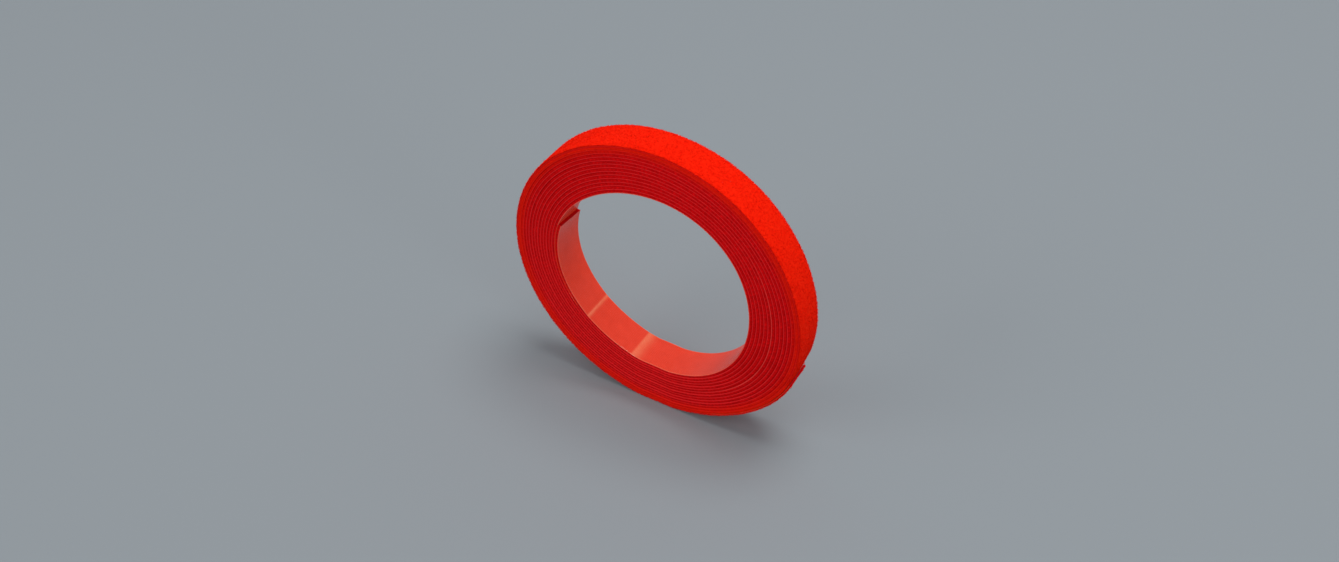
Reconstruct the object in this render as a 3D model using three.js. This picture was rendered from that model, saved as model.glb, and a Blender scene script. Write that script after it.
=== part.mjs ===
// A coreless roll of back-to-back hook and loop tape, standing on its rim.
//
// Millimetres, +Z up. The roll's axis runs along Y and its front side faces -Y. The origin is on the floor,
// in the middle of the foot where the soft roll sits flat. Angles are in degrees, from +X towards +Z.
//
// The tape is two plies bonded back to back: a moulded hook film that faces the bore and a brushed loop fabric
// that faces out. Each ply is wound in one unbroken spiral. Its two free ends, the tail outside and the end in
// the bore, are short links of both plies, so that they can be peeled off the roll.
import * as THREE from 'three';

// The tape
const TAPE_WIDTH = 16;
const HOOK_FILM_THICKNESS = 0.35;
const LOOP_FABRIC_THICKNESS = 0.6;
const BOND_GAP = 0.05;
// Between one turn's loop fabric and the next turn's hook film, where the hooks and loops engage
const TURN_GAP = 0.5;

// The winding
const BORE_RADIUS = 45.6;
const WHOLE_TURNS = 14;
const INNER_END_ANGLE = 162;
const OUTER_END_ANGLE = 338;
// How late in the first turn the tape climbs over its own end, where 1 is a steady spiral, and how soon the
// turns further out settle into a steady one
const FIRST_CLIMB = 8;
const CLIMB_SETTLING = 3;
// The roll has no core, so it is a little out of round: the bore has soft lobes, and the outside bulges where the
// winding is slack and is flatter where it is tight
const OUT_OF_ROUND = 0.7;
const LOBES = 3;
const LOBE_ANGLE = 58;
const OUTER_BULGES = [
  { angle: 338, height: 1.8, reach: 30 },
  { angle: 65, height: 0.85, reach: 35 },
  { angle: 250, height: -0.4, reach: 25 },
];

// The flat foot under the roll
const FOOT_ANGLE = 270;
const FOOT_DEPTH = 0.5;

// The free ends
const TAIL_LENGTH = 45;
const TAIL_LINKS = 4;
const INNER_END_LENGTH = 33;
const INNER_END_LINKS = 3;
const LINK_GAP = 0.3;

// Facets
const STEPS_PER_TURN = 36;
const STEPS_PER_LINK = 2;
const SHORTEST_STEP = 0.1;

const FULL_TURN = 360;
const PITCH = HOOK_FILM_THICKNESS + BOND_GAP + LOOP_FABRIC_THICKNESS + TURN_GAP;
const TAPE_THICKNESS = PITCH - TURN_GAP;
const TURNS = WHOLE_TURNS + (OUTER_END_ANGLE - INNER_END_ANGLE) / FULL_TURN;
const OUTER_RADIUS = BORE_RADIUS + PITCH * TURNS + TAPE_THICKNESS;
const TAIL_TURN = TURNS - TAIL_LENGTH / (2 * Math.PI * OUTER_RADIUS);
const INNER_END_TURN = INNER_END_LENGTH / (2 * Math.PI * BORE_RADIUS);

const PLIES = {
  hook_film: {
    offset: 0,
    thickness: HOOK_FILM_THICKNESS,
    color: 0xb3201c,
    roughness: 0.45,
  },
  loop_fabric: {
    offset: HOOK_FILM_THICKNESS + BOND_GAP,
    thickness: LOOP_FABRIC_THICKNESS,
    color: 0xe6200a,
    roughness: 0.95,
  },
};

const cosine = (degrees) => Math.cos(THREE.MathUtils.degToRad(degrees));
const sine = (degrees) => Math.sin(THREE.MathUtils.degToRad(degrees));

// The spiral. A place on the tape is counted in turns from its inner end.

function angleAt(turn) {
  return INNER_END_ANGLE + FULL_TURN * turn;
}

// Turns climbed: the first turn lies on a circle and climbs at its end, the last ones climb steadily.
function climbAt(turn) {
  const whole = Math.floor(turn);
  const depth = 1 - whole / TURNS;
  const lateness = 1 + (FIRST_CLIMB - 1) * depth ** CLIMB_SETTLING;
  return whole + (turn - whole) ** lateness;
}

// Degrees from one angle to another, the shorter way round
function angleBetween(from, to) {
  return THREE.MathUtils.euclideanModulo(to - from + FULL_TURN / 2, FULL_TURN) - FULL_TURN / 2;
}

// The lobes of the bore pass into the bulges of the outside, turn by turn.
function outOfRoundAt(turn) {
  const lobe = OUT_OF_ROUND * cosine(LOBES * (angleAt(turn) - LOBE_ANGLE));
  let bulge = 0;
  for (const { angle, height, reach } of OUTER_BULGES) {
    bulge += height * Math.exp(-((angleBetween(angle, angleAt(turn)) / reach) ** 2));
  }
  return THREE.MathUtils.lerp(lobe, bulge, climbAt(turn) / TURNS);
}

// Radius of the hook film's inner face before the foot is pressed flat
function freeRadiusAt(turn) {
  return BORE_RADIUS + PITCH * climbAt(turn) + outOfRoundAt(turn);
}

// The foot: over this half angle the outermost turn is pressed onto the floor, and the turns above it follow.
const FOOT_HALF_ANGLE = THREE.MathUtils.radToDeg(Math.acos(1 - FOOT_DEPTH / OUTER_RADIUS));

function lastTurnOver(angle) {
  const turn = (angle - INNER_END_ANGLE) / FULL_TURN;
  return turn + Math.floor(TAIL_TURN - turn);
}

function freeOuterRadiusOver(angle) {
  return freeRadiusAt(lastTurnOver(angle)) + TAPE_THICKNESS;
}

const FOOT_EDGES = [FOOT_ANGLE - FOOT_HALF_ANGLE, FOOT_ANGLE + FOOT_HALF_ANGLE];
const FOOT_EDGE_RADIUS = (freeOuterRadiusOver(FOOT_EDGES[0]) + freeOuterRadiusOver(FOOT_EDGES[1])) / 2;
const AXIS_HEIGHT = FOOT_EDGE_RADIUS * cosine(FOOT_HALF_ANGLE);

function footPressAt(angle) {
  const fromFoot = angleBetween(FOOT_ANGLE, angle);
  const edgeTolerance = 1e-6;
  if (Math.abs(fromFoot) > FOOT_HALF_ANGLE + edgeTolerance) return 0;
  return freeOuterRadiusOver(angle) - AXIS_HEIGHT / cosine(fromFoot);
}

function radiusAt(turn) {
  return freeRadiusAt(turn) - footPressAt(angleAt(turn));
}

// Where the facets break: the same angles in every turn, with the foot as one facet, so that the turns lie parallel.
// A break that is very near an end of the strip is left out.
function woundStations(from, to) {
  const step = (FULL_TURN - 2 * FOOT_HALF_ANGLE) / (STEPS_PER_TURN - 1);
  const nearAnEnd = SHORTEST_STEP / STEPS_PER_TURN;
  const stations = [from];
  for (let turn = -1; turn <= Math.ceil(TURNS); turn += 1) {
    for (let i = 0; i < STEPS_PER_TURN; i += 1) {
      const angle = FOOT_EDGES[1] + FULL_TURN * turn + step * i;
      const station = (angle - INNER_END_ANGLE) / FULL_TURN;
      if (station > from + nearAnEnd && station < to - nearAnEnd) stations.push(station);
    }
  }
  stations.push(to);
  return stations;
}

function evenStations(from, to, steps) {
  return Array.from({ length: steps + 1 }, (_, i) => THREE.MathUtils.lerp(from, to, i / steps));
}

// A ply along the given stations: a closed strip, four corners at each station and a cap at each end.
function stripGeometry(stations, ply) {
  const corners = [];
  for (const turn of stations) {
    const inner = radiusAt(turn) + ply.offset;
    const outer = inner + ply.thickness;
    const along = [cosine(angleAt(turn)), sine(angleAt(turn))];
    for (const [radius, side] of [[inner, -1], [outer, -1], [outer, 1], [inner, 1]]) {
      corners.push(radius * along[0], side * TAPE_WIDTH / 2, radius * along[1]);
    }
  }
  const faces = [];
  const quad = (a, b, c, d) => faces.push(a, b, c, a, c, d);
  for (let i = 0; i < stations.length - 1; i += 1) {
    const here = 4 * i;
    const next = here + 4;
    for (let k = 0; k < 4; k += 1) {
      const after = (k + 1) % 4;
      quad(here + k, here + after, next + after, next + k);
    }
  }
  const last = 4 * (stations.length - 1);
  quad(0, 3, 2, 1);
  quad(last, last + 1, last + 2, last + 3);
  const geometry = new THREE.BufferGeometry();
  geometry.setAttribute('position', new THREE.Float32BufferAttribute(corners, 3));
  geometry.setIndex(faces);
  geometry.computeVertexNormals();
  return geometry;
}

function plyMesh(plyName, stretch, stations) {
  const ply = PLIES[plyName];
  const material = new THREE.MeshStandardMaterial({ color: ply.color, roughness: ply.roughness, metalness: 0 });
  const mesh = new THREE.Mesh(stripGeometry(stations, ply), material);
  mesh.name = `${plyName}_${stretch}`;
  return mesh;
}

function addStretch(group, stretch, stations) {
  for (const plyName of Object.keys(PLIES)) {
    group.add(plyMesh(plyName, stretch, stations));
  }
}

// Half of the slit between two links, in turns, at a place on the tape
function halfSlitAt(turn) {
  return LINK_GAP / 2 / (2 * Math.PI * freeRadiusAt(turn));
}

// A free end as links between two places on the tape, numbered from the roll outwards
function addLinks(group, stretch, root, tip, count) {
  const towardsTip = Math.sign(tip - root);
  for (let i = 0; i < count; i += 1) {
    const near = THREE.MathUtils.lerp(root, tip, i / count);
    const far = THREE.MathUtils.lerp(root, tip, (i + 1) / count);
    const start = near + towardsTip * halfSlitAt(near);
    const end = i === count - 1 ? tip : far - towardsTip * halfSlitAt(far);
    const stations = evenStations(Math.min(start, end), Math.max(start, end), STEPS_PER_LINK);
    addStretch(group, `${stretch}_${i + 1}`, stations);
  }
}

// Least distance from the outer face of each turn to the inner face of the next one, measured on points
function leastGap(stations, outerOffset, innerOffset) {
  const place = (turn, offset) => {
    const radius = radiusAt(turn) + offset;
    return new THREE.Vector3(radius * cosine(angleAt(turn)), 0, radius * sine(angleAt(turn)));
  };
  const outer = stations.map((turn) => place(turn, outerOffset));
  const inner = stations.map((turn) => place(turn, innerOffset));
  const nearest = new THREE.Vector3();
  let least = Infinity;
  for (let i = 0; i < stations.length; i += 1) {
    const first = i + STEPS_PER_TURN - 2;
    const beyond = Math.min(i + STEPS_PER_TURN + 2, stations.length - 1);
    for (let k = first; k < beyond; k += 1) {
      new THREE.Line3(inner[k], inner[k + 1]).closestPointToPoint(outer[i], true, nearest);
      least = Math.min(least, nearest.distanceTo(outer[i]));
    }
  }
  return least;
}

const roll = new THREE.Group();
roll.position.z = AXIS_HEIGHT;

const wound = woundStations(
  INNER_END_TURN + halfSlitAt(INNER_END_TURN),
  TAIL_TURN - halfSlitAt(TAIL_TURN),
);
addStretch(roll, 'roll', wound);
addLinks(roll, 'tail', TAIL_TURN, TURNS, TAIL_LINKS);
addLinks(roll, 'inner_end', INNER_END_TURN, 0, INNER_END_LINKS);

for (const [plyName, ply] of Object.entries(PLIES)) {
  const gap = leastGap(wound, ply.offset + ply.thickness, ply.offset);
  console.log(`${plyName}_roll: least gap to itself ${gap.toFixed(3)} mm`);
}
console.log(`tape: least gap between turns ${leastGap(wound, TAPE_THICKNESS, 0).toFixed(3)} mm`);

const part = new THREE.Group();
part.add(roll);

export default part;
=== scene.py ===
# %% [markdown]
# # A roll of hook and loop tape
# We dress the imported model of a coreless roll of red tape. The tape is two plies bonded back to back: a
# moulded film with tiny hooks, which faces the bore, and a brushed fabric of tiny loops, which faces out.
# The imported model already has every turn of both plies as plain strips. Here each strip becomes cloth or
# film that can be looked at closely, and the loops and hooks are real geometry.

import bpy
import numpy as np
from mathutils import Matrix, Vector


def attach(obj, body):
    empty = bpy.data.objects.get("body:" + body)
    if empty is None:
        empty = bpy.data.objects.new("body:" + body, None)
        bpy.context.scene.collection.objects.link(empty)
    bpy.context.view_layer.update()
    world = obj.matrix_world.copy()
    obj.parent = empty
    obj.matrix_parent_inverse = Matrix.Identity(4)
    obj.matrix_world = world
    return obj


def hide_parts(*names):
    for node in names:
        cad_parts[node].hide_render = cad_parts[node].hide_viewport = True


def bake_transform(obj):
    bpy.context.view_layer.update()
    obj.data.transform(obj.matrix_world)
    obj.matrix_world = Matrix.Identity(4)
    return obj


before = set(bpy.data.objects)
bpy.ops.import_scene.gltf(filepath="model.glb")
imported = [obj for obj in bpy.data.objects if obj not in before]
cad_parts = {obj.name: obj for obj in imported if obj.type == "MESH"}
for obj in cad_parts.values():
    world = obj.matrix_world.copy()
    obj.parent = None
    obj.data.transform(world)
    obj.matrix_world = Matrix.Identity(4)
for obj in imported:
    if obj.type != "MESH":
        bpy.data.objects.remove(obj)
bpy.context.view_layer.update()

# %% [markdown]
# ## The path of the tape
# A wound tape is one long strip, so everything on it is easiest to place in the tape's own measures: how
# far along it lies, how far to the side, and how deep through its thickness. One function then carries
# those three numbers to the roll. We could bend a straight strip with a curve modifier, but a formula is
# exact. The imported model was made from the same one, so the new strips lie where the plain ones are.

# %% Sizes of the winding, in millimetres and degrees
MM = 0.001
TAPE_WIDTH = 16.0
TAPE_THICKNESS = 1.0
PITCH = 1.5
BORE_RADIUS = 45.6
WHOLE_TURNS = 14
INNER_END_ANGLE = 162.0
OUTER_END_ANGLE = 338.0
TURNS = WHOLE_TURNS + (OUTER_END_ANGLE - INNER_END_ANGLE) / 360
OUTER_RADIUS = BORE_RADIUS + PITCH * TURNS + TAPE_THICKNESS
print(f"{TURNS:.2f} turns, outer radius {OUTER_RADIUS:.1f} mm")

# %% [markdown]
# The radius grows by one pitch in every turn. The first turn lies on a circle and climbs over its own end
# only at the last moment, and the turns further out climb more and more steadily. No core holds the roll
# round: its bore has three soft lobes, and its outside has two bulges and a flatter place. We could drag
# such forms with a lattice, but cosines and bell curves give them with a few numbers that can be read.

# %% The spiral
FIRST_CLIMB = 8
CLIMB_SETTLING = 3
OUT_OF_ROUND = 0.7
LOBES = 3
LOBE_ANGLE = 58
# The angle, the height and the reach of each bulge
OUTER_BULGES = ((338, 1.8, 30), (65, 0.85, 35), (250, -0.4, 25))


def angle_at(turn):
    return INNER_END_ANGLE + 360 * turn


def degrees_past(middle, angle):
    """How far an angle lies past another one, the shorter way round."""
    return (angle - middle + 180) % 360 - 180


def turns_climbed(turn):
    whole = np.floor(turn)
    lateness = 1 + (FIRST_CLIMB - 1) * (1 - whole / TURNS) ** CLIMB_SETTLING
    return whole + (turn - whole) ** lateness


def out_of_round(turn):
    lobes = OUT_OF_ROUND * np.cos(np.radians(LOBES * (angle_at(turn) - LOBE_ANGLE)))
    bulges = 0
    for angle, height, reach in OUTER_BULGES:
        bulges = bulges + height * np.exp(-((degrees_past(angle, angle_at(turn)) / reach) ** 2))
    return lobes + (bulges - lobes) * turns_climbed(turn) / TURNS


def free_radius(turn):
    """Radius of the film's inner face, before the foot is pressed flat."""
    return BORE_RADIUS + PITCH * turns_climbed(turn) + out_of_round(turn)


print(f"radius {free_radius(0):.1f} mm at the inner end, {free_radius(TURNS):.1f} mm at the tail's end")

# %% [markdown]
# The roll's own weight presses a small flat foot under it. The outermost turn may not go below the floor,
# and the turns above it give way by the same amount. We could cut the foot with a boolean, but that would
# slice the turns open. A soft minimum of two radii bends them instead, and rounds the ends of the foot. The
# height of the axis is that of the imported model, whose foot is as deep.

# %% The foot
TAIL_LENGTH = 45.0
TAIL_TURN = TURNS - TAIL_LENGTH / (2 * np.pi * OUTER_RADIUS)
FOOT_ANGLE = 270
FOOT_DEPTH = 0.5
FOOT_ROUNDING = 0.35
# Further from the foot than this the floor is out of reach
FOOT_WINDOW = 40


def outermost_radius(angle):
    """Radius of the roll's outside, without the tail."""
    turn = (angle - INNER_END_ANGLE) / 360
    return free_radius(turn + np.floor(TAIL_TURN - turn)) + TAPE_THICKNESS


foot_half = np.degrees(np.arccos(1 - FOOT_DEPTH / OUTER_RADIUS))
foot_edges = np.array([FOOT_ANGLE - foot_half, FOOT_ANGLE + foot_half])
AXIS_HEIGHT = outermost_radius(foot_edges).mean() * np.cos(np.radians(foot_half))


def soft_minimum(first, second, rounding):
    share = np.clip(0.5 + 0.5 * (first - second) / rounding, 0, 1)
    return first * (1 - share) + second * share - rounding * share * (1 - share)


def foot_press(angle):
    beside = np.clip(degrees_past(FOOT_ANGLE, angle), -FOOT_WINDOW, FOOT_WINDOW)
    to_floor = AXIS_HEIGHT / np.cos(np.radians(beside))
    free = outermost_radius(angle)
    return free - soft_minimum(to_floor, free, FOOT_ROUNDING)


print(f"axis {AXIS_HEIGHT:.2f} mm above the floor")

# %% [markdown]
# Two creases cross the bore, where the film was once folded. A crease is a small corner in the path: the
# radius swells a little on both sides of it, so the two flanks catch the light differently. The turns
# behind follow it less and less. A bump texture could fake the corner on the film, but a corner in the path
# takes the fabric and the hooks along.

# %% Creases
CREASE_ANGLES = (223.7, 256.4)
CREASE_HEIGHT = 0.2
CREASE_REACH = 5.0
CREASED_TURNS = 3


def from_crease(turn, angle):
    """Millimetres along the bore from the crease at an angle."""
    return np.radians(degrees_past(angle, angle_at(turn))) * BORE_RADIUS


def crease_swell(turn):
    fading = CREASE_HEIGHT * np.clip(1 - np.floor(turn) / CREASED_TURNS, 0, 1)
    return sum(fading * np.exp(-np.abs(from_crease(turn, angle)) / CREASE_REACH) for angle in CREASE_ANGLES)


def radius_at(turn):
    return free_radius(turn) + crease_swell(turn) - foot_press(angle_at(turn))


print(f"bore {2 * radius_at(np.linspace(0, 1, 90)).min():.1f} mm across")

# %% [markdown]
# Nothing guides the edges of the turns, so they wander a little to the side, and at the right one of them
# stands proud of its neighbours. Noise would do for the wander too, but a sum of three sines looks as
# unplanned and needs no seed.

# %% Wander
# Millimetres, radians in each turn, and start of each wave
WANDER_WAVES = ((0.09, 2.3, 0.6), (0.05, 6.1, 2.0), (0.03, 29, 0))
PROUD = 0.22
PROUD_TURN = 6.52
PROUD_REACH = 0.11


def near_proud(turn):
    """1 along the proud stretch and 0 elsewhere. The fourth power keeps its middle level."""
    return np.exp(-(((turn - PROUD_TURN) / PROUD_REACH) ** 4))


def wander(turn):
    waves = sum(height * np.sin(speed * turn + start) for height, speed, start in WANDER_WAVES)
    return waves - PROUD * near_proud(turn)


print(f"the proud turn stands {-wander(PROUD_TURN):.2f} mm out of the front side")

# %% [markdown]
# Stitches and hooks are spaced evenly along the tape, so we need its length. The formula has no neat
# integral, but a fine table of turns against length can be read both ways.

# %% Length along the tape
TABLE_ROWS = 60000
turn_table = np.linspace(0, TURNS, TABLE_ROWS)
radius_table = radius_at(turn_table)
step_lengths = np.hypot(np.diff(radius_table), 2 * np.pi * np.diff(turn_table) * radius_table[1:])
length_table = np.concatenate([[0], np.cumsum(step_lengths)])
TAPE_LENGTH = length_table[-1]


def length_at(turn):
    return np.interp(turn, turn_table, length_table)


def turn_at(along):
    inside = np.clip(along, 0, TAPE_LENGTH)
    beyond = (along - inside) / (2 * np.pi * np.where(along < 0, radius_table[0], radius_table[-1]))
    return np.interp(inside, length_table, turn_table) + beyond


print(f"tape {TAPE_LENGTH / 1000:.2f} m long")

# %% [markdown]
# Now we can carry a point from tape measures to the roll. The ends of the tape were cut with scissors, a
# little askew. A knife cut through the mesh would do it, but a small shear over the last millimetres keeps
# the rows of points whole. No yarn goes through the floor.

# %% From tape measures to the roll
CUT_REACH = 8.0
TAIL_SKEW = -1.6
INNER_TRIM = 1.0
INNER_SKEW = 2.6
LEAST_HEIGHT = 0.02


def on_roll(side, along, depth):
    """Places on the roll, from arrays in tape measures, all in millimetres."""
    near_tail = np.clip(1 - (TAPE_LENGTH - along) / CUT_REACH, 0, 1)
    near_inner = np.clip(1 - along / CUT_REACH, 0, 1)
    across = side / TAPE_WIDTH
    cut_askew = along + near_tail * TAIL_SKEW * across + near_inner * (INNER_TRIM + INNER_SKEW * across)
    turn = turn_at(cut_askew)
    angle = np.radians(angle_at(turn))
    radius = radius_at(turn) + depth
    height = np.maximum(AXIS_HEIGHT + radius * np.sin(angle), LEAST_HEIGHT)
    return np.stack([radius * np.cos(angle), side + wander(turn), height], axis=-1)


tail_end = on_roll(np.array(0.0), np.array(TAPE_LENGTH), np.array(0.0))
print("the tail ends at", tail_end.round(1), "mm")

# %% [markdown]
# ## The camera
# The photograph was taken from the front right and from above. We could place the camera by eye, but
# fitting it to the two rims of the roll gave its direction, distance, field of view and aim at once.

# %% Camera
CAMERA_AZIMUTH = np.radians(29.95)
CAMERA_ELEVATION = np.radians(41.34)
CAMERA_DISTANCE = 539.8
CAMERA_RIGHT = 3.38
CAMERA_UP = -1.97
CAMERA_LENS = 34.885
SENSOR_WIDTH = 36

level = np.cos(CAMERA_ELEVATION)
aside = np.sin(CAMERA_AZIMUTH)
ahead = np.cos(CAMERA_AZIMUTH)
backward = Vector((aside * level, -ahead * level, np.sin(CAMERA_ELEVATION)))
rightward = Vector((ahead, aside, 0))
upward = backward.cross(rightward)
middle = Vector((0, 0, AXIS_HEIGHT))
camera_place = middle + CAMERA_DISTANCE * backward + CAMERA_RIGHT * rightward + CAMERA_UP * upward
camera = bpy.data.objects.new("camera", bpy.data.cameras.new("camera"))
camera.data.lens = CAMERA_LENS
camera.data.sensor_width = SENSOR_WIDTH
turned = Matrix((rightward, upward, backward)).transposed()
camera.matrix_world = Matrix.Translation(camera_place * MM) @ turned.to_4x4()
bpy.context.scene.collection.objects.link(camera)
bpy.context.scene.camera = camera
bpy.context.scene.view_settings.view_transform = "Standard"
print("camera at", [round(x, 3) for x in camera.matrix_world.translation])

# %% [markdown]
# ## Shared finishes
# Dyed yarn is never one even red: threads are a little lighter or darker, at two scales. That mottle
# serves the fabric's face, its edge and the film, so it is a node group, with its size and its two colours
# as inputs. It reads a map of the tape in metres, so it stays on the tape when an end is peeled off. An
# image would show its pixels close up, and noise doesn't.

# %% Node helpers
def add_node(tree, kind, **values):
    made = tree.nodes.new(kind)
    for name, value in values.items():
        setattr(made, name, value)
    return made


def set_inputs(made, **values):
    """Set a node's inputs by name, with _ for a space."""
    for name, value in values.items():
        made.inputs[name.replace("_", " ")].default_value = value
    return made


def new_group(name, inputs, outputs):
    tree = bpy.data.node_groups.new(name, "ShaderNodeTree")
    for in_out, sockets in (("INPUT", inputs), ("OUTPUT", outputs)):
        for socket, kind in sockets:
            tree.interface.new_socket(socket, in_out=in_out, socket_type=f"NodeSocket{kind}")
    return tree, add_node(tree, "NodeGroupInput"), add_node(tree, "NodeGroupOutput")


# %% The mottle group
COARSE_SCALE = 0.14
COARSE_WEIGHT = 0.45


def make_mottle():
    tree, given, result = new_group(
        "thread_mottle",
        [("Place", "Vector"), ("Per metre", "Float"), ("Dark", "Color"), ("Light", "Color")],
        [("Color", "Color"), ("Height", "Float")],
    )
    fine = set_inputs(add_node(tree, "ShaderNodeTexNoise"), Detail=3, Roughness=0.6)
    coarse = set_inputs(add_node(tree, "ShaderNodeTexNoise"), Detail=2, Roughness=0.5)
    wider = add_node(tree, "ShaderNodeMath", operation="MULTIPLY")
    wider.inputs[1].default_value = COARSE_SCALE
    both = add_node(tree, "ShaderNodeMath", operation="MULTIPLY_ADD")
    both.inputs[1].default_value = COARSE_WEIGHT
    spread = set_inputs(add_node(tree, "ShaderNodeMapRange"), From_Min=0.45, From_Max=0.95)
    colour = add_node(tree, "ShaderNodeMix", data_type="RGBA")
    link = tree.links.new
    link(given.outputs["Place"], fine.inputs["Vector"])
    link(given.outputs["Place"], coarse.inputs["Vector"])
    link(given.outputs["Per metre"], fine.inputs["Scale"])
    link(given.outputs["Per metre"], wider.inputs[0])
    link(wider.outputs[0], coarse.inputs["Scale"])
    link(coarse.outputs["Fac"], both.inputs[0])
    link(fine.outputs["Fac"], both.inputs[2])
    link(both.outputs[0], spread.inputs["Value"])
    link(spread.outputs["Result"], colour.inputs["Factor"])
    link(given.outputs["Dark"], colour.inputs["A"])
    link(given.outputs["Light"], colour.inputs["B"])
    link(colour.outputs["Result"], result.inputs["Color"])
    link(fine.outputs["Fac"], result.inputs["Height"])
    return tree


mottle = make_mottle()
print("group:", mottle.name)

# %% [markdown]
# Each material is a Principled shader with a mottle for each of its surfaces. Masks painted on the strips
# choose between the mottles. On the fabric they are the crimson edge and painted shade in the notches, the
# grooves and the cut ends. On the film they are the whitened creases with a painted highlight on the
# bore's rims, the handled edges, a painted highlight on slit edges and painted shade on the cut ends.
# Separate materials would need hard borders, and masks can fade.

# %% Material helpers
TAPE_MAP = "tape"


def new_material(name, **shader_values):
    material = bpy.data.materials.new(name)
    material.use_nodes = True
    shader = material.node_tree.nodes["Principled BSDF"]
    set_inputs(shader, **shader_values)
    return material, material.node_tree, shader


def place_mottle(tree, per_metre, dark, light):
    made = add_node(tree, "ShaderNodeGroup", node_tree=mottle)
    set_inputs(made, Per_metre=per_metre, Dark=(*dark, 1), Light=(*light, 1))
    tape_map = add_node(tree, "ShaderNodeUVMap", uv_map=TAPE_MAP)
    tree.links.new(tape_map.outputs["UV"], made.inputs["Place"])
    return made


def mix_by(tree, painted, first, second):
    mask = add_node(tree, "ShaderNodeAttribute", attribute_name=painted)
    colour = add_node(tree, "ShaderNodeMix", data_type="RGBA")
    tree.links.new(mask.outputs["Fac"], colour.inputs["Factor"])
    tree.links.new(first, colour.inputs["A"])
    tree.links.new(second, colour.inputs["B"])
    return colour.outputs["Result"]


def add_bump(tree, shader, height, strength, distance):
    bump = set_inputs(add_node(tree, "ShaderNodeBump"), Strength=strength, Distance=distance)
    tree.links.new(height, bump.inputs["Height"])
    tree.links.new(bump.outputs["Normal"], shader.inputs["Normal"])


# %% [markdown]
# The fabric is matt and very saturated on its brushed face, an orange red. At its edge one looks between
# the yarns, so it is a deeper crimson. Painted shade darkens it in the notches, in the grooves between the
# turns and on the cut ends, where shade falls. A drawn weave would be wrong, because a brushed face shows
# only the mottle of its yarns. A little sheen stands for the finest fibres.

# %% Loop fabric
def make_fabric():
    material, tree, shader = new_material(
        "loop_fabric",
        Roughness=0.95,
        Specular_IOR_Level=0.03,
        Sheen_Weight=0.02,
        Sheen_Roughness=0.6,
        Sheen_Tint=(1.0, 0.12, 0.05, 1),
    )
    face = place_mottle(tree, 900, dark=(0.90, 0.0095, 0.0012), light=(0.98, 0.0165, 0.002))
    edge = place_mottle(tree, 700, dark=(0.70, 0.0018, 0.0034), light=(0.97, 0.005, 0.0075))
    # Painted shade: this dark mottle darkens the notches, the grooves and the cut ends
    notch_shade = place_mottle(tree, 700, dark=(0.46, 0.0012, 0.0023), light=(0.64, 0.002, 0.0036))
    colour = mix_by(tree, "edge", face.outputs["Color"], edge.outputs["Color"])
    colour = mix_by(tree, "notch_shade", colour, notch_shade.outputs["Color"])
    # Painted shade on the cut ends, where shade falls
    colour = mix_by(tree, "cut", colour, notch_shade.outputs["Color"])
    tree.links.new(colour, shader.inputs["Base Color"])
    add_bump(tree, shader, face.outputs["Height"], strength=0.3, distance=0.0003)
    return material


fabric = make_fabric()
print("material:", fabric.name)

# %% [markdown]
# The film is moulded plastic: paler, because light passes into it, and satin. Subsurface light would show
# that too, but a paler colour is quicker and looks the same on so thin a film. Where it was creased the
# plastic has turned whitish, and the same pale mottle is painted as a highlight along the rims of the bore.
# Its roughness changes a little over the surface, from the mottle's height.

# %% Hook film
def make_film():
    material, tree, shader = new_material(
        "hook_film",
        Specular_IOR_Level=0.4,
        Sheen_Weight=0.07,
        Sheen_Roughness=0.4,
        Sheen_Tint=(1.0, 0.8, 0.72, 1),
    )
    face = place_mottle(tree, 260, dark=(0.87, 0.043, 0.011), light=(0.94, 0.054, 0.017))
    # Pale mottle for the whitened creases, and for a painted highlight along the rims of the bore
    whitening_and_highlight = place_mottle(tree, 1500, dark=(0.98, 0.14, 0.055), light=(1.0, 0.26, 0.125))
    colour = mix_by(tree, "crease_whitening_and_rim_highlight", face.outputs["Color"], whitening_and_highlight.outputs["Color"])
    tree.links.new(colour, shader.inputs["Base Color"])
    satin = set_inputs(add_node(tree, "ShaderNodeMapRange"), To_Min=0.14, To_Max=0.28)
    tree.links.new(face.outputs["Height"], satin.inputs["Value"])
    tree.links.new(satin.outputs["Result"], shader.inputs["Roughness"])
    add_bump(tree, shader, whitening_and_highlight.outputs["Height"], strength=0.15, distance=0.0002)
    return material


film = make_film()
print("material:", film.name)

# %% [markdown]
# The knife that slit the film left its edges dull, and a little paler than the yarn beside them. In the
# outer turns, which hands have touched most, fibres lie over them, so they take the red of the fabric's
# face. Where a turn stands proud, and along the rims of the bore, the edge catches the light, and a
# painted highlight makes it paler. The cut ends get painted shade. A mask could choose the gloss too, but
# these surfaces meet the film's face at a corner, so a second material is simpler.

# %% Slit edges of the film
def make_slit_edge():
    material, tree, shader = new_material("slit_edge", Roughness=0.8, Specular_IOR_Level=0.05)
    slit = place_mottle(tree, 500, dark=(0.80, 0.014, 0.018), light=(0.93, 0.024, 0.028))
    handled = place_mottle(tree, 500, dark=(0.84, 0.009, 0.005), light=(0.95, 0.016, 0.008))
    # Painted highlight on the slit edges in the bore and at the proud turn
    edge_highlight = place_mottle(tree, 500, dark=(0.86, 0.070, 0.058), light=(0.98, 0.110, 0.090))
    # Painted shade on the cut ends
    cut_end_shade = place_mottle(tree, 500, dark=(0.42, 0.006, 0.008), light=(0.60, 0.012, 0.014))
    colour = mix_by(tree, "handled", slit.outputs["Color"], handled.outputs["Color"])
    colour = mix_by(tree, "edge_highlight", colour, edge_highlight.outputs["Color"])
    colour = mix_by(tree, "cut", colour, cut_end_shade.outputs["Color"])
    tree.links.new(colour, shader.inputs["Base Color"])
    return material


slit_edge = make_slit_edge()
print("material:", slit_edge.name)

# %% [markdown]
# Single threads and hooks are too thin for a pattern of their own. Each gets one of a few shades instead,
# picked at random, as yarns take up the dye differently. As separate objects they could read a random
# number each, but tens of thousands of objects are slow.

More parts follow.
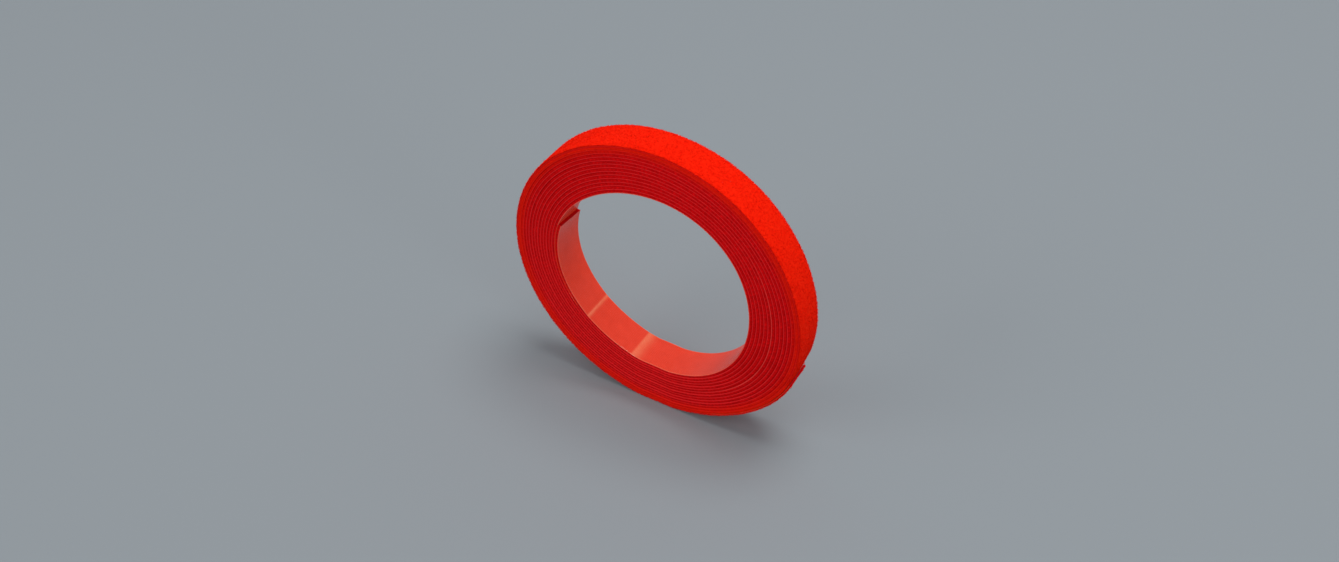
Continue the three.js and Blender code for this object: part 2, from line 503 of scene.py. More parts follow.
# %% Threads and hooks
def make_shades(name, shades, **shader_values):
    made = []
    for number, shade in enumerate(shades, 1):
        material, *_ = new_material(f"{name}_{number}", Base_Color=(*shade, 1), **shader_values)
        made.append(material)
    return made


face_threads = make_shades(
    "face_thread",
    [(0.88, 0.009, 0.0012), (0.95, 0.0135, 0.0016), (0.99, 0.019, 0.002)],
    Roughness=0.9,
    Specular_IOR_Level=0.03,
)
edge_threads = make_shades(
    "edge_thread",
    [(0.62, 0.002, 0.004), (0.80, 0.004, 0.006), (0.96, 0.009, 0.010)],
    Roughness=0.9,
    Specular_IOR_Level=0.03,
)
hook_plastic = make_shades(
    "hook_plastic",
    [(0.86, 0.043, 0.015), (0.94, 0.057, 0.023)],
    Roughness=0.4,
    Specular_IOR_Level=0.35,
)
print("shades:", len(face_threads) + len(edge_threads) + len(hook_plastic))

# %% [markdown]
# ## Strips
# A strip is a ring of points, its section, carried along the tape and joined to the next ring. The ends are
# closed, so each stretch is a solid. Blender can make meshes face by face, but whole arrays of numbers are
# much quicker for a tape of five metres.

# %% Mesh maker
def make_piece(name, points, face_groups, materials):
    """points are in millimetres. The faces of a group have the same number of corners."""
    corners = np.concatenate([group.ravel() for group in face_groups])
    sizes = np.concatenate([np.full(len(group), group.shape[1]) for group in face_groups])
    mesh = bpy.data.meshes.new(name)
    mesh.vertices.add(len(points))
    mesh.vertices.foreach_set("co", (points * MM).astype(np.float32).ravel())
    mesh.loops.add(len(corners))
    mesh.loops.foreach_set("vertex_index", corners.astype(np.int32))
    mesh.polygons.add(len(sizes))
    mesh.polygons.foreach_set("loop_start", (np.cumsum(sizes) - sizes).astype(np.int32))
    mesh.update(calc_edges=True)
    mesh.shade_smooth()
    for material in materials:
        mesh.materials.append(material)
    piece = bpy.data.objects.new(name, mesh)
    bpy.context.scene.collection.objects.link(piece)
    return piece


# %% [markdown]
# Each corner of a face also gets its place on the map of the tape, in metres. We could unwrap the strips
# instead, but their length and girth are known. The edges of the two ends are marked sharp, or the smooth
# shading would run round them and show a groove where stretches meet.

# %% What a strip carries
def paint(piece, name, values, domain="POINT"):
    painted = piece.data.attributes.new(name, "FLOAT", domain)
    painted.data.foreach_set("value", values.astype(np.float32).ravel())


def sharpen_ends(piece, count, around):
    pairs = np.empty(2 * len(piece.data.edges), np.int32)
    piece.data.edges.foreach_get("vertices", pairs)
    rings = pairs.reshape(-1, 2) // around
    on_an_end = (rings[:, 0] == rings[:, 1]) & np.isin(rings[:, 0], (0, count - 1))
    piece.data.edges.foreach_set("use_edge_sharp", on_an_end)


def lay_map(piece, stations, section):
    count, around = section.shape[:2]
    ring = np.vstack([section[0], section[0][:1]])
    girth = np.concatenate([[0], np.cumsum(np.hypot(*np.diff(ring, axis=0).T))])
    u = np.stack([stations[:-1], stations[:-1], stations[1:], stations[1:]], axis=-1)
    v = np.stack([girth[:-1], girth[1:], girth[1:], girth[:-1]], axis=-1)
    walls_u = np.repeat(u[:, None], around, axis=1)
    walls_v = np.repeat(v[None], count - 1, axis=0)
    walls = np.stack([walls_u, walls_v], axis=-1)
    caps = np.stack([section[0][::-1], section[-1]])
    tape_map = np.concatenate([walls.reshape(-1, 2), caps.reshape(-1, 2)]) * MM
    piece.data.uv_layers.new(name=TAPE_MAP).data.foreach_set("uv", tape_map.astype(np.float32).ravel())


# %% Strip maker
def make_strip(name, stations, section, painted, materials, side_materials):
    """section is (stations, points, 2): depth and side. painted has named masks, one value for each of
    its points. side_materials has the number of each side's material. The ends get the last material."""
    count, around = section.shape[:2]
    along = np.repeat(stations[:, None], around, axis=1)
    points = on_roll(section[..., 1], along, section[..., 0]).reshape(-1, 3)
    index = np.arange(count * around).reshape(count, around)
    after = np.roll(index, -1, axis=1)
    walls = np.stack([index[:-1], after[:-1], after[1:], index[1:]], axis=-1).reshape(-1, 4)
    caps = np.stack([index[0][::-1], index[-1]])
    piece = make_piece(name, points, [walls, caps], materials)
    sharpen_ends(piece, count, around)
    lay_map(piece, stations, section)
    for mask, values in painted.items():
        paint(piece, mask, values)
    paint(piece, "cut", np.arange(len(walls) + len(caps)) >= len(walls), "FACE")
    wall_materials = np.tile(side_materials, count - 1)
    cap_materials = np.full(len(caps), len(materials) - 1)
    material_index = np.concatenate([wall_materials, cap_materials])
    piece.data.polygons.foreach_set("material_index", material_index.astype(np.int32))
    return piece


# %% [markdown]
# ## Sections of the two plies
# The fabric's edge is held by a row of knitted stitches, which show as small uneven beads, a notch between
# every two. Displacement could press beads out of a plain edge, but it needs a very fine mesh. Three rings
# of points to a stitch are enough for beads that follow a sine.

# %% Beads of the fabric's edge
STITCH = 1.9
STATIONS_PER_STITCH = 3
BEAD_SIZES = (0.5, 1.1)


def even_stations(start, end, step):
    return np.linspace(start, end, max(2, round((end - start) / step)) + 1)


def beads_at(stations, random):
    """How full the bead is at each station: 0 in a notch, 1 at most."""
    size = random.uniform(*BEAD_SIZES, round(TAPE_LENGTH / STITCH) + 2)
    beat = np.abs(np.sin(np.pi * stations / STITCH))
    return np.clip(beat * size[np.floor(stations / STITCH).astype(int)], 0, 1)[:, None]


print(f"{TAPE_LENGTH / STITCH:.0f} stitches along each edge")

# %% [markdown]
# The section goes from the back of the fabric round one bead, over the face and round the other bead.
# Towards its edges the face drops a little. A face that shows gets points across, and a hidden one none.

# %% Section of the loop fabric
FABRIC_BACK = 0.33
FACE_DROP = 0.07
FACE_DROP_POWER = 8
FACE_HOLD = 0.2
NOTCH = 0.24
# How far the three points of an edge lie in from its outline
EDGE_ROUNDING = np.array([0.05, 0, 0.1])
BEAD_FOOT = 0.05
BEAD_MIDDLE = 0.75
BEAD_HALF = 0.32
BEAD_SHARE = 0.36
SMALLEST_BEAD = 0.7


def fabric_ring(bead, shoulder, top, across):
    """Depth and side of the points. Each argument but the last has a row for each station."""
    half = TAPE_WIDTH / 2
    held = shoulder - FACE_HOLD
    face_side = np.concatenate([-shoulder, np.linspace(-1, 1, across) * held, shoulder], axis=1)
    face_depth = top - FACE_DROP * (face_side / half) ** FACE_DROP_POWER
    swelling = SMALLEST_BEAD + (1 - SMALLEST_BEAD) * bead
    bead_half = np.minimum(BEAD_HALF, BEAD_SHARE * (top - FABRIC_BACK)) * swelling
    bead_middle = np.minimum(BEAD_MIDDLE, (FABRIC_BACK + top) / 2)
    bead_foot = np.full(bead.shape, FABRIC_BACK + BEAD_FOOT)
    edge_depth = np.concatenate([bead_foot, bead_middle, bead_middle + bead_half], axis=1)
    edge_side = half - NOTCH * (1 - bead) - EDGE_ROUNDING
    back_depth = np.full(bead.shape, FABRIC_BACK)
    depth = [back_depth, edge_depth, face_depth, edge_depth[:, ::-1], back_depth]
    side = [-shoulder, -edge_side, face_side, edge_side[:, ::-1], shoulder]
    return np.stack([np.concatenate(depth, axis=1), np.concatenate(side, axis=1)], axis=-1)


print(f"beads up to {2 * BEAD_HALF:.2f} mm high, notches {NOTCH} mm deep")

# %% [markdown]
# Two masks go with the section. One turns the face's red into the crimson of the edge, and the other is
# painted shade in the notches and in the grooves between the turns. Hands have brushed fibres over the
# edges of the outer turns, so these keep more of the face's red, and their painted shade is lighter.
# Ambient occlusion would darken every groove alike, and here the outer ones stay bright.

# %% Masks of the loop fabric
EDGE_POINTS = 4
EDGE_SHOULDER = 0.32
EDGE_UNEVENNESS = 0.04
GROOVE_SHADE = 0.8
HANDLED_TURNS = 3.9
HANDLED_RAMP = 2.2
# How much of the face's red the points of a handled edge take, from the back to the face
HANDLED_EDGE = np.array([0.6, 0.8, 0.95, 1])
# How much lighter the painted shade in the notches and grooves of handled turns is
HANDLED_SHADE_LIFT = 0.65
STITCH_SEED = 7


def handled_at(turn):
    return np.clip((turn - (TURNS - HANDLED_TURNS)) / HANDLED_RAMP, 0, 1)


def fabric_masks(stations, bead, around, face_shade):
    handled = handled_at(turn_at(stations))[:, None]
    at_edge = 1 - handled * HANDLED_EDGE
    # Painted shade in the notches between the beads
    shade_in_notch = np.repeat(1 - bead, EDGE_POINTS, axis=1) * (1 - HANDLED_SHADE_LIFT * handled)
    shade_in_notch[:, 0] = 0
    edge = np.full((len(stations), around), float(face_shade))
    # Painted shade in the grooves between the turns, lighter in the outer turns
    notch_shade = np.repeat(GROOVE_SHADE * face_shade * (1 - handled), around, axis=1)
    for mask, values in ((edge, at_edge), (notch_shade, shade_in_notch)):
        mask[:, :EDGE_POINTS] = values
        mask[:, -EDGE_POINTS:] = values[:, ::-1]
    return {"edge": edge, "notch_shade": notch_shade}


def fabric_section(stations, top, across, face_shade):
    """top is the face's height at each station. face_shade is 0 for the face's red, and 1 for the edge's
    crimson with painted shade in its grooves.
    """
    random = np.random.default_rng(STITCH_SEED)
    bead = beads_at(stations, random)
    shoulder = TAPE_WIDTH / 2 - EDGE_SHOULDER + random.normal(0, EDGE_UNEVENNESS, bead.shape)
    section = fabric_ring(bead, shoulder, top[:, None], across)
    return section, fabric_masks(stations, bead, section.shape[1], face_shade)


print(f"the outer {HANDLED_TURNS - HANDLED_RAMP:.1f} turns are handled all through")

# %% [markdown]
# Between the turns the pile is pressed against the next turn's film and fills the space up to it. The
# outermost turn and the tail stand free, so their face is lower. Under the tail it rises to fill the space,
# and so does the fabric of the inner end, which lies against the first turn. A shrinkwrap modifier could
# press it there, but both radii are known.

# %% Height of the fabric's face
FABRIC_FACE = 0.92
PILE_CLEARANCE = 0.03
COVERED_END = length_at(TURNS - 1)
COVERED_RISE = PITCH - PILE_CLEARANCE - FABRIC_FACE
COVER_RAMP = 1.5


def pressed_face(stations):
    turn = turn_at(stations)
    return radius_at(turn + 1) - radius_at(turn) - PILE_CLEARANCE


def open_face(stations):
    return FABRIC_FACE + COVERED_RISE * np.clip((COVERED_END + COVER_RAMP - stations) / COVER_RAMP, 0, 1)


print(f"face {FABRIC_FACE} mm high in the open, {FABRIC_FACE + COVERED_RISE:.2f} mm under the tail")

# %% [markdown]
# The film's edge is slit clean, with only its corners rounded, and lies nearly flush with the beads. The
# dark line between the turns is the groove beside a bead. A bevel modifier could round the corners, but it
# would round the cut ends as well.

# %% Section of the hook film
FILM_BACK = 0.35
FILM_CORNER = 0.06
RIM_HOLD = 0.3
# Which sides of the section are slit, and which of its points are the rims of the face
SLIT_SIDES = (0, 4)
FACE_RIMS = [6, -1]


def film_section(half, across):
    """half is half the film's width at each station."""
    inset = half - FILM_CORNER
    held = inset - RIM_HOLD
    face_side = [inset, *(share * held for share in np.linspace(1, -1, across)), -inset]
    side = np.stack([-half, -half, -inset, inset, half, half, *face_side], axis=-1)
    edge_depth = [FILM_CORNER, FILM_BACK - FILM_CORNER]
    depth = np.concatenate([edge_depth, [FILM_BACK, FILM_BACK], edge_depth[::-1], np.zeros(len(face_side))])
    return np.stack([np.tile(depth, (len(half), 1)), side], axis=-1)


print(f"film {FILM_BACK} mm thick, fabric {FABRIC_FACE - FABRIC_BACK:.2f} mm without its loops")

# %% [markdown]
# ## The wound turns
# Each ply is wound from the bend near its inner end to the bend near its tail. One turn could be copied
# outwards, but no two turns are alike, so every ply runs through. The first turn of film and the last turn
# of fabric are seen from a finger's width, so they are pieces of their own with a finer section.

# %% Where the stretches begin and end
INNER_END_LENGTH = 33.0
INNER_END_TURN = INNER_END_LENGTH / (2 * np.pi * BORE_RADIUS)
INNER_END_LINKS = 3
TAIL_LINKS = 4
BORE_TURN = 1.15
OUTER_TURN = 1.03
inner_step = INNER_END_TURN / INNER_END_LINKS
tail_step = (TURNS - TAIL_TURN) / TAIL_LINKS
WOUND_START = length_at(INNER_END_TURN + inner_step / 2)
WOUND_END = length_at(TAIL_TURN - tail_step / 2)
BORE_TURN_END = length_at(BORE_TURN)
OUTER_TURN_START = length_at(TAIL_TURN - OUTER_TURN)
print(f"wound from {WOUND_START:.1f} to {WOUND_END:.1f} mm along the tape")

# %% [markdown]
# The fabric of the turns takes the place of the imported model's fabric, and rides on the same body.

# %% Loop fabric of the roll
FACE_POINTS = 9


def place_on_roll(piece, slot, *nodes):
    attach(piece, "roll")
    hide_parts(*nodes)
    print(f"{piece.name}: {len(piece.data.polygons)} faces")


def make_fabric_strip(name, start, end, face_at, across, face_shade):
    stations = even_stations(start, end, STITCH / STATIONS_PER_STITCH)
    section, masks = fabric_section(stations, face_at(stations), across, face_shade)
    strip = make_strip(name, stations, section, masks, [fabric], np.zeros(section.shape[1]))
    return strip


fabric_turns = make_fabric_strip(
    "loop_fabric_turns", WOUND_START, OUTER_TURN_START, pressed_face, 0, 1
)
fabric_outer_turn = make_fabric_strip(
    "loop_fabric_outer_turn", OUTER_TURN_START, WOUND_END, open_face, FACE_POINTS, 0
)
for piece in (fabric_turns, fabric_outer_turn):
    place_on_roll(piece, "loop_fabric", "loop_fabric_roll")

# %% [markdown]
# Plastic that has been bent too far turns white. On the real roll the whitening is sharp on one side of
# each crease and fades out on the other. The same mask paints a pale highlight along the rims of the bore's
# face, and a second mask paints a highlight on the slit edges in the bore and at the proud turn. It could
# be a texture, but a mask is tied to the creases themselves.

# %% Masks of the hook film
# How far each crease is white before it and behind it, in millimetres, and how strongly
WHITENING = ((0.45, 1.0, 0.95), (0.45, 3.3, 0.85))
# Painted highlight along the rims of the bore's face, and on the slit edges of the proud turn
RIM_HIGHLIGHT = 0.7
PROUD_HIGHLIGHT = 0.4


def crease_paint(turn):
    painted = np.zeros_like(turn)
    for angle, (before, behind, strength) in zip(CREASE_ANGLES, WHITENING):
        beside = from_crease(turn, angle)
        near = np.exp(-((beside / np.where(beside < 0, before, behind)) ** 2))
        painted = np.maximum(painted, strength * near)
    return painted * (turn < 1)


def film_masks(turn, around):
    in_bore = turn < 1
    # Painted highlight on the slit edges in the bore and at the proud turn
    edge_highlight = np.maximum(in_bore, PROUD_HIGHLIGHT * near_proud(turn))
    masks = {"crease_whitening_and_rim_highlight": crease_paint(turn), "edge_highlight": edge_highlight, "handled": handled_at(turn)}
    masks = {name: np.repeat(values[:, None], around, axis=1) for name, values in masks.items()}
    rims = masks["crease_whitening_and_rim_highlight"][:, FACE_RIMS]
    # Painted highlight along the rims of the bore's face
    masks["crease_whitening_and_rim_highlight"][:, FACE_RIMS] = np.maximum(rims, RIM_HIGHLIGHT * in_bore[:, None])
    return masks


print("creases at", CREASE_ANGLES, "degrees")

# %% [markdown]
# The film of the bore is the one that is looked at, so its rings of points lie close together, for the
# creases. Between the turns only the slit edges show, and there the whole film has their material.

# %% Hook film of the roll
FILM_STATION = 1.5
CREASE_STATION = 0.5
OPEN_RECESS = 0.03
WOUND_RECESS = 0.05
RIM_POINTS = 5


def make_film_strip(name, start, end, across, station, recess, face_material):
    stations = even_stations(start, end, station)
    turn = turn_at(stations)
    half = TAPE_WIDTH / 2 - recess * (1 - near_proud(turn))
    section = film_section(half, across)
    around = section.shape[1]
    slit_sides = np.isin(np.arange(around), SLIT_SIDES)
    masks = film_masks(turn, around)
    return make_strip(name, stations, section, masks, [face_material, slit_edge], slit_sides)


film_bore_turn = make_film_strip(
    "hook_film_bore_turn", WOUND_START, BORE_TURN_END, RIM_POINTS, CREASE_STATION, OPEN_RECESS, film
)
film_turns = make_film_strip(
    "hook_film_turns", BORE_TURN_END, WOUND_END, 0, FILM_STATION, WOUND_RECESS, slit_edge
)
for piece in (film_bore_turn, film_turns):
    place_on_roll(piece, "hook_film", "hook_film_roll")

# %% [markdown]
# ## Loops and hooks
# Loops, stray fibres and hooks are all thin tubes along a short bent path, so one function makes them,
# thousands at a time. Their paths are written in tape measures too: side, along and depth. Hair particles
# would be lighter to render, but tubes survive the export as real shapes.

# %% Tube maker
TUBE_SIDES = 3
# No path runs in this direction, so it can be crossed with all of them
OFF_PATH = (0.38, 0.31, 0.87)


def make_tubes(name, paths, radii, materials, shade):
    """paths is (tubes, points, 3) in tape measures. radii has one for each point of a path, and shade picks
    each tube's material."""
    tubes, points = paths.shape[:2]
    heading = np.gradient(paths, axis=1)
    heading /= np.linalg.norm(heading, axis=-1, keepdims=True)
    across = np.cross(heading, OFF_PATH)
    across /= np.linalg.norm(across, axis=-1, keepdims=True)
    other = np.cross(heading, across)
    turn = 2 * np.pi * np.arange(TUBE_SIDES) / TUBE_SIDES
    spokes = np.cos(turn)[:, None] * across[:, :, None] + np.sin(turn)[:, None] * other[:, :, None]
    rings = paths[:, :, None] + radii[:, None, None] * spokes
    index = np.arange(tubes * points * TUBE_SIDES).reshape(tubes, points, TUBE_SIDES)
    after = np.roll(index, -1, axis=2)
    walls = np.stack([index[:, :-1], after[:, :-1], after[:, 1:], index[:, 1:]], axis=-1).reshape(-1, 4)
    ends = np.concatenate([index[:, 0, ::-1], index[:, -1]])
    piece = make_piece(name, on_roll(*np.moveaxis(rings, -1, 0)).reshape(-1, 3), [walls, ends], materials)
    shades = np.concatenate([np.repeat(shade, (points - 1) * TUBE_SIDES), np.tile(shade, 2)])
    piece.data.polygons.foreach_set("material_index", shades.astype(np.int32))
    return piece


# %% [markdown]
# The brushed face is a tangle of low loops. Each loop is an arch of yarn that starts and ends in the
# fabric, in a random direction. Under the tail and behind the inner end the loops are pressed low by the
# next turn, and the loops on the open face stand higher, with a few pulled out further by use.

# %% Loops of the face
LOOPS_PER_MM2 = 3.0
LOOP_FIELD = 0.985
LOOP_SPAN = (0.35, 0.95)
LOOP_LEAN = 0.12
PRESSED_LOOP = (0.03, 0.08)
OPEN_LOOP = (0.12, 0.34)
PULLED_LOOP = (0.45, 0.75)
PULLED_SHARE = 0.015
LOOP_ROOT = 0.05
LOOP_FULLNESS = 0.7
RIM_MARGIN = 0.05
ARCH = np.linspace(-0.5, 0.5, 4)
ARCH_RISE = np.cos(np.pi * ARCH)


def loop_paths(start, end, random):
    count = round(LOOPS_PER_MM2 * (end - start) * TAPE_WIDTH)
    side = random.uniform(-LOOP_FIELD, LOOP_FIELD, (count, 1)) * TAPE_WIDTH / 2
    along = random.uniform(start, end, (count, 1))
    heading = random.uniform(0, 2 * np.pi, (count, 1))
    span = random.uniform(*LOOP_SPAN, (count, 1))
    lean = random.normal(0, LOOP_LEAN, (count, 1))
    pressed = random.uniform(*PRESSED_LOOP, (count, 1))
    standing = random.uniform(*OPEN_LOOP, (count, 1))
    is_pulled = (random.random((count, 1)) < PULLED_SHARE) & (along > COVERED_END)
    pulled = random.uniform(*PULLED_LOOP, (count, 1))
    height = np.where(is_pulled, pulled, np.where(along < COVERED_END, pressed, standing))
    forward = span * ARCH
    sideways = lean * ARCH_RISE
    turned_side = forward * np.cos(heading) - sideways * np.sin(heading)
    turned_along = forward * np.sin(heading) + sideways * np.cos(heading)
    reach = TAPE_WIDTH / 2 - RIM_MARGIN
    path_side = np.clip(side + turned_side, -reach, reach)
    path_along = np.clip(along + turned_along, start, end)
    depth = open_face(path_along) - LOOP_ROOT + height * ARCH_RISE**LOOP_FULLNESS
    return np.stack([path_side, path_along, depth], axis=-1)


print(f"{LOOPS_PER_MM2 * TAPE_WIDTH:.0f} loops on each millimetre of tape")

# %% [markdown]
# At the rims of the open face the pile bends over the edge, which softens the outline and hides the corner.
# A bevel would round the corner too, but it would leave a hard line. These loops lie on their side, and the
# lower ones have the crimson of the edge.

# %% Loops of the rims
RIM_LOOPS_PER_MM = 14.0
RIM_LOOP_SPAN = (0.3, 0.9)
RIM_LOOP_REACH = (0.1, 0.32)
RIM_LOOP_LOWEST = 0.4
RIM_LOOP_RISE = (-0.1, 0.25)
RIM_LOOP_ROOT = 0.2
CRIMSON_BELOW = 0.62


def rim_loop_paths(start, end, random):
    start = min(max(start, COVERED_END), end)
    count = round(RIM_LOOPS_PER_MM * (end - start))
    along = random.uniform(start, end, (count, 1))
    rim = random.choice([-1, 1], (count, 1))
    span = random.uniform(*RIM_LOOP_SPAN, (count, 1))
    reach = random.uniform(*RIM_LOOP_REACH, (count, 1))
    root = random.uniform(RIM_LOOP_LOWEST, FABRIC_FACE, (count, 1))
    rise = random.uniform(*RIM_LOOP_RISE, (count, 1))
    path_side = rim * (TAPE_WIDTH / 2 - RIM_LOOP_ROOT + reach * ARCH_RISE)
    path_along = np.clip(along + span * ARCH, start, end)
    return np.stack([path_side, path_along, root + rise * ARCH_RISE], axis=-1)


print(f"{RIM_LOOPS_PER_MM:.0f} loops on each millimetre of the rims")

# %% Loop pile of the roll
YARN_RADIUS = 0.045
PILE_PIECES = 4
PILE_SEED = 20


def make_pile(name, start, end, seed):
    random = np.random.default_rng(seed)
    loops = loop_paths(start, end, random)
    rim_loops = rim_loop_paths(start, end, random)
    paths = np.concatenate([loops, rim_loops])
    shade = random.integers(0, len(face_threads), len(paths))
    rooted_low = rim_loops[:, 0, 2] < CRIMSON_BELOW
    shade[len(loops):] += np.where(rooted_low, len(face_threads), 0)
    radii = np.full(len(ARCH), YARN_RADIUS)
    return make_tubes(name, paths, radii, face_threads + edge_threads, shade)


pile_breaks = np.linspace(OUTER_TURN_START, WOUND_END, PILE_PIECES + 1)
for number, (start, end) in enumerate(zip(pile_breaks[:-1], pile_breaks[1:]), 1):
    pile = make_pile(f"loop_pile_{number}", start, end, PILE_SEED + number)
    place_on_roll(pile, "loop_fabric", "loop_fabric_roll")

# %% [markdown]
# Cut yarn ends stand out of the edges of the fabric. They blur the layer lines and give the outline a soft
# nap. A noisy normal could blur the lines, but it would leave the outline sharp. The ends are short, bent
# once and thinner at the tip.

# %% Edge fuzz
FUZZ_PER_MM = 2.0
FUZZ_REACH = (0.10, 0.42)
FUZZ_DRIFT = 0.28
FUZZ_RISE = 0.12
FUZZ_LOWEST = 0.05
FUZZ_ROOT = 0.2
FUZZ_SUNK = 0.15
FUZZ_BEND = np.array([0.0, 0.55, 1.0])
FUZZ_RADII = np.array([0.035, 0.03, 0.012])


def fuzz_paths(start, end, face, random):
    """face is -1 for the front side of the roll and 1 for its back."""
    count = round(FUZZ_PER_MM * (end - start))
    along = random.uniform(start, end, (count, 1))
    reach = random.uniform(*FUZZ_REACH, (count, 1))
    drift = random.normal(0, FUZZ_DRIFT, (count, 1))
    rise = random.normal(0, FUZZ_RISE, (count, 1))
    top = np.where(along < COVERED_END, BEAD_MIDDLE + BEAD_HALF, FABRIC_FACE)
    depth = random.uniform(FABRIC_BACK + FUZZ_LOWEST, top, (count, 1))
    path_side = face * (TAPE_WIDTH / 2 - FUZZ_ROOT + (FUZZ_SUNK + reach) * FUZZ_BEND)
    path_along = np.clip(along + drift * FUZZ_BEND**2, start, end)
    path_depth = np.clip(depth + rise * FUZZ_BEND, FABRIC_BACK, top)
    return np.stack([path_side, path_along, path_depth], axis=-1)


def make_fuzz(name, start, end, face, seed):
    random = np.random.default_rng(seed)
    paths = fuzz_paths(start, end, face, random)
    shade = random.integers(0, len(edge_threads), len(paths))
    return make_tubes(name, paths, FUZZ_RADII, edge_threads, shade)


for name, face, seed in (("edge_fuzz_front", -1, 31), ("edge_fuzz_back", 1, 32)):
    fuzz = make_fuzz(name, WOUND_START, WOUND_END, face, seed)
    place_on_roll(fuzz, "loop_fabric", "loop_fabric_roll")

# %% [markdown]
# The hooks are moulded in rows on the film. A hook is a stem with its tip curled along the tape, every
# second row the other way, so the tape holds in both directions. An array modifier could repeat one hook,
# but each is a little out of place and takes one of two shades. Between the turns they are sunk in the
# pile and out of sight, so they are made only in the bore and on the free ends.

# %% Hooks
HOOK_HEIGHT = 0.16
HOOK_CURL = 0.15
HOOK_STEP = 0.85
HOOK_ROW = 0.72
ROWS_BESIDE_MIDDLE = 10
HOOK_JITTER = 0.03
# A hook from root to tip: shares of its curl and of its height, towards the bore, and its radii
HOOK_REACH = np.array([-0.02, 0.10, 0.55, 1.0])
HOOK_RISE = np.array([0.05, -0.62, -1.0, -0.82])
HOOK_RADII = np.array([0.075, 0.055, 0.045, 0.035])
BORE_HOOK_SEED = 41
hook_rows = np.arange(-ROWS_BESIDE_MIDDLE, ROWS_BESIDE_MIDDLE + 1) * HOOK_ROW


def hook_paths(along, side, way):
    path_along = along[:, None] + way[:, None] * HOOK_REACH * HOOK_CURL
    path_side = np.repeat(side[:, None], len(HOOK_REACH), axis=1)
    path_depth = np.tile(HOOK_RISE * HOOK_HEIGHT, (len(along), 1))
    return np.stack([path_side, path_along, path_depth], axis=-1)


def make_hooks(name, start, end, seed):
    random = np.random.default_rng(seed)
    step_count = max(1, round((end - start) / HOOK_STEP))
    along = start + (np.arange(step_count) + 0.5) * (end - start) / step_count
    along, side = (grid.ravel() for grid in np.meshgrid(along, hook_rows))
    way = np.where(np.round(side / HOOK_ROW) % 2 == 0, 1.0, -1.0)
    along = along + random.normal(0, HOOK_JITTER, len(along))
    shade = random.integers(0, len(hook_plastic), len(along))
    return make_tubes(name, hook_paths(along, side, way), HOOK_RADII, hook_plastic, shade)


bore_hooks = make_hooks("bore_hooks", WOUND_START, BORE_TURN_END, BORE_HOOK_SEED)
place_on_roll(bore_hooks, "hook_film", "hook_film_roll")

# %% [markdown]
# ## The two free ends
# The tail and the end in the bore can be peeled off, and the imported model bends each of them at a few
# hinges. Rigid links would show gaps at the hinges, and real tape bends in a smooth curve. Here each stretch
# of it runs from the middle of one link to the middle of the next, over the hinge between them, and the
# stretches meet at the middles of the links.

# %% A stretch of a free end
END_SEEDS = {"tail": 400, "inner_end": 900}


def bend(piece, node):
    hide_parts(node)
    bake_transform(piece)


def make_free_stretch(stretch, number, turns, bodies):
    """turns are where the stretch begins and ends."""
    start, end = sorted(length_at(np.array(turns)))
    end_name = f"{stretch}_{number}"
    seed = END_SEEDS[stretch] + 10 * number
    film_node = f"hook_film_{end_name}"
    cloth = make_fabric_strip(
        f"loop_fabric_bend_{end_name}", start, end, open_face, FACE_POINTS, 0
    )
    pile = make_pile(f"loop_pile_{end_name}", start, end, seed)
    front = make_fuzz(f"edge_fuzz_front_{end_name}", start, end, -1, seed + 1)
    back = make_fuzz(f"edge_fuzz_back_{end_name}", start, end, 1, seed + 2)
    for piece in (cloth, pile, front, back):
        bend(piece, f"loop_fabric_{end_name}")
    backing = make_film_strip(
        f"hook_film_bend_{end_name}", start, end, RIM_POINTS, CREASE_STATION, OPEN_RECESS, film
    )
    hooks = make_hooks(f"hooks_{end_name}", start, end, seed + 3)
    for piece in (backing, hooks):
        bend(piece, film_node)
    print(f"{end_name}: {end - start:.1f} mm between {bodies[0]} and {bodies[1]}")


# %% [markdown]
# Each stretch starts half a link before its hinge and ends half a link past it, or at the tip.


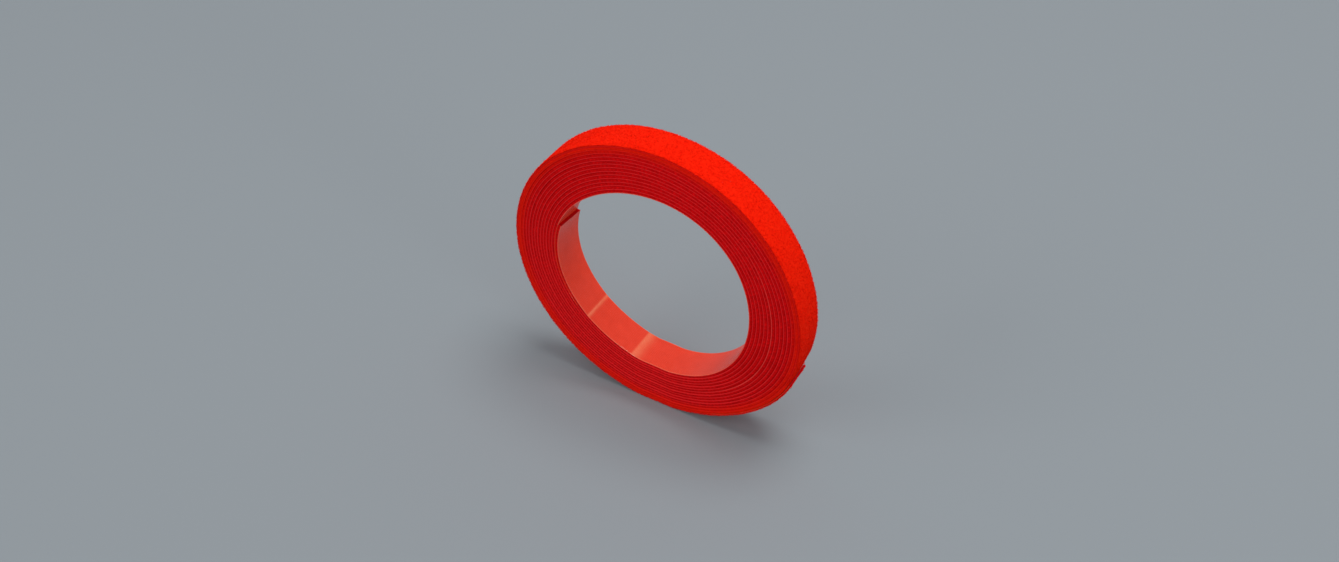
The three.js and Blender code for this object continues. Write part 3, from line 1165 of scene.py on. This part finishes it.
def make_free_end(stretch, root, tip, links):
    step = (tip - root) / links
    for number in range(1, links + 1):
        hinge = root + (number - 1) * step
        stretch_end = tip if number == links else hinge + step / 2
        turns = (hinge - step / 2, stretch_end)
        parent = "roll" if number == 1 else f"{stretch}_{number - 1}"
        make_free_stretch(stretch, number, turns, (parent, f"{stretch}_{number}"))


make_free_end("tail", TAIL_TURN, TURNS, TAIL_LINKS)
make_free_end("inner_end", INNER_END_TURN, 0.0, INNER_END_LINKS)

# %% [markdown]
# ## Floor and light
# The roll stands on a plain grey-blue surface. A curved backdrop would do too, but the picture looks down
# and shows the surface alone, so one large square is enough.

# %% Floor
FLOOR_HALF = 12.0 / MM


def make_floor():
    corners = np.array([(-1, -1, 0), (1, -1, 0), (1, 1, 0), (-1, 1, 0)]) * FLOOR_HALF
    material, *_ = new_material(
        "studio_floor", Base_Color=(0.270, 0.296, 0.314, 1), Roughness=0.9, Specular_IOR_Level=0.1
    )
    floor = make_piece("studio_floor", corners, [np.array([[0, 1, 2, 3]])], [material])
    return floor


floor = make_floor()
print("floor:", floor.name)

# %% [markdown]
# The light is soft: a key lamp almost straight above, which leaves the shadow along the foot, a broad fill
# from the front left for the side of the roll, and a lamp at the right for the outer face. Small lamps
# would draw hard shadows. The lamps and the world together light an upward face at about 1, so that the
# colours come out as they are written. The camera doesn't see the lamps.

# %% Lights
AIM = Vector((0, 0, 0.06))


def add_lamp(name, place, size, power):
    light = bpy.data.lights.new(name, "AREA")
    light.shape = "DISK"
    light.size = size
    light.energy = power
    lamp = bpy.data.objects.new(name, light)
    lamp.location = place
    lamp.rotation_euler = (AIM - Vector(place)).to_track_quat("-Z", "Y").to_euler()
    lamp.visible_camera = False
    bpy.context.scene.collection.objects.link(lamp)


add_lamp("key", place=(0.36, 0.25, 2.36), size=1.4, power=31)
add_lamp("fill", place=(-2.8, -3.5, 2.34), size=3.2, power=56)
add_lamp("side", place=(4.4, -1.6, 1.02), size=1.3, power=26.4)
world = bpy.data.worlds.new("studio")
world.use_nodes = True
background = set_inputs(world.node_tree.nodes["Background"], Color=(0.93, 0.96, 1.0, 1), Strength=0.5)
bpy.context.scene.world = world
print("world strength:", background.inputs["Strength"].default_value)
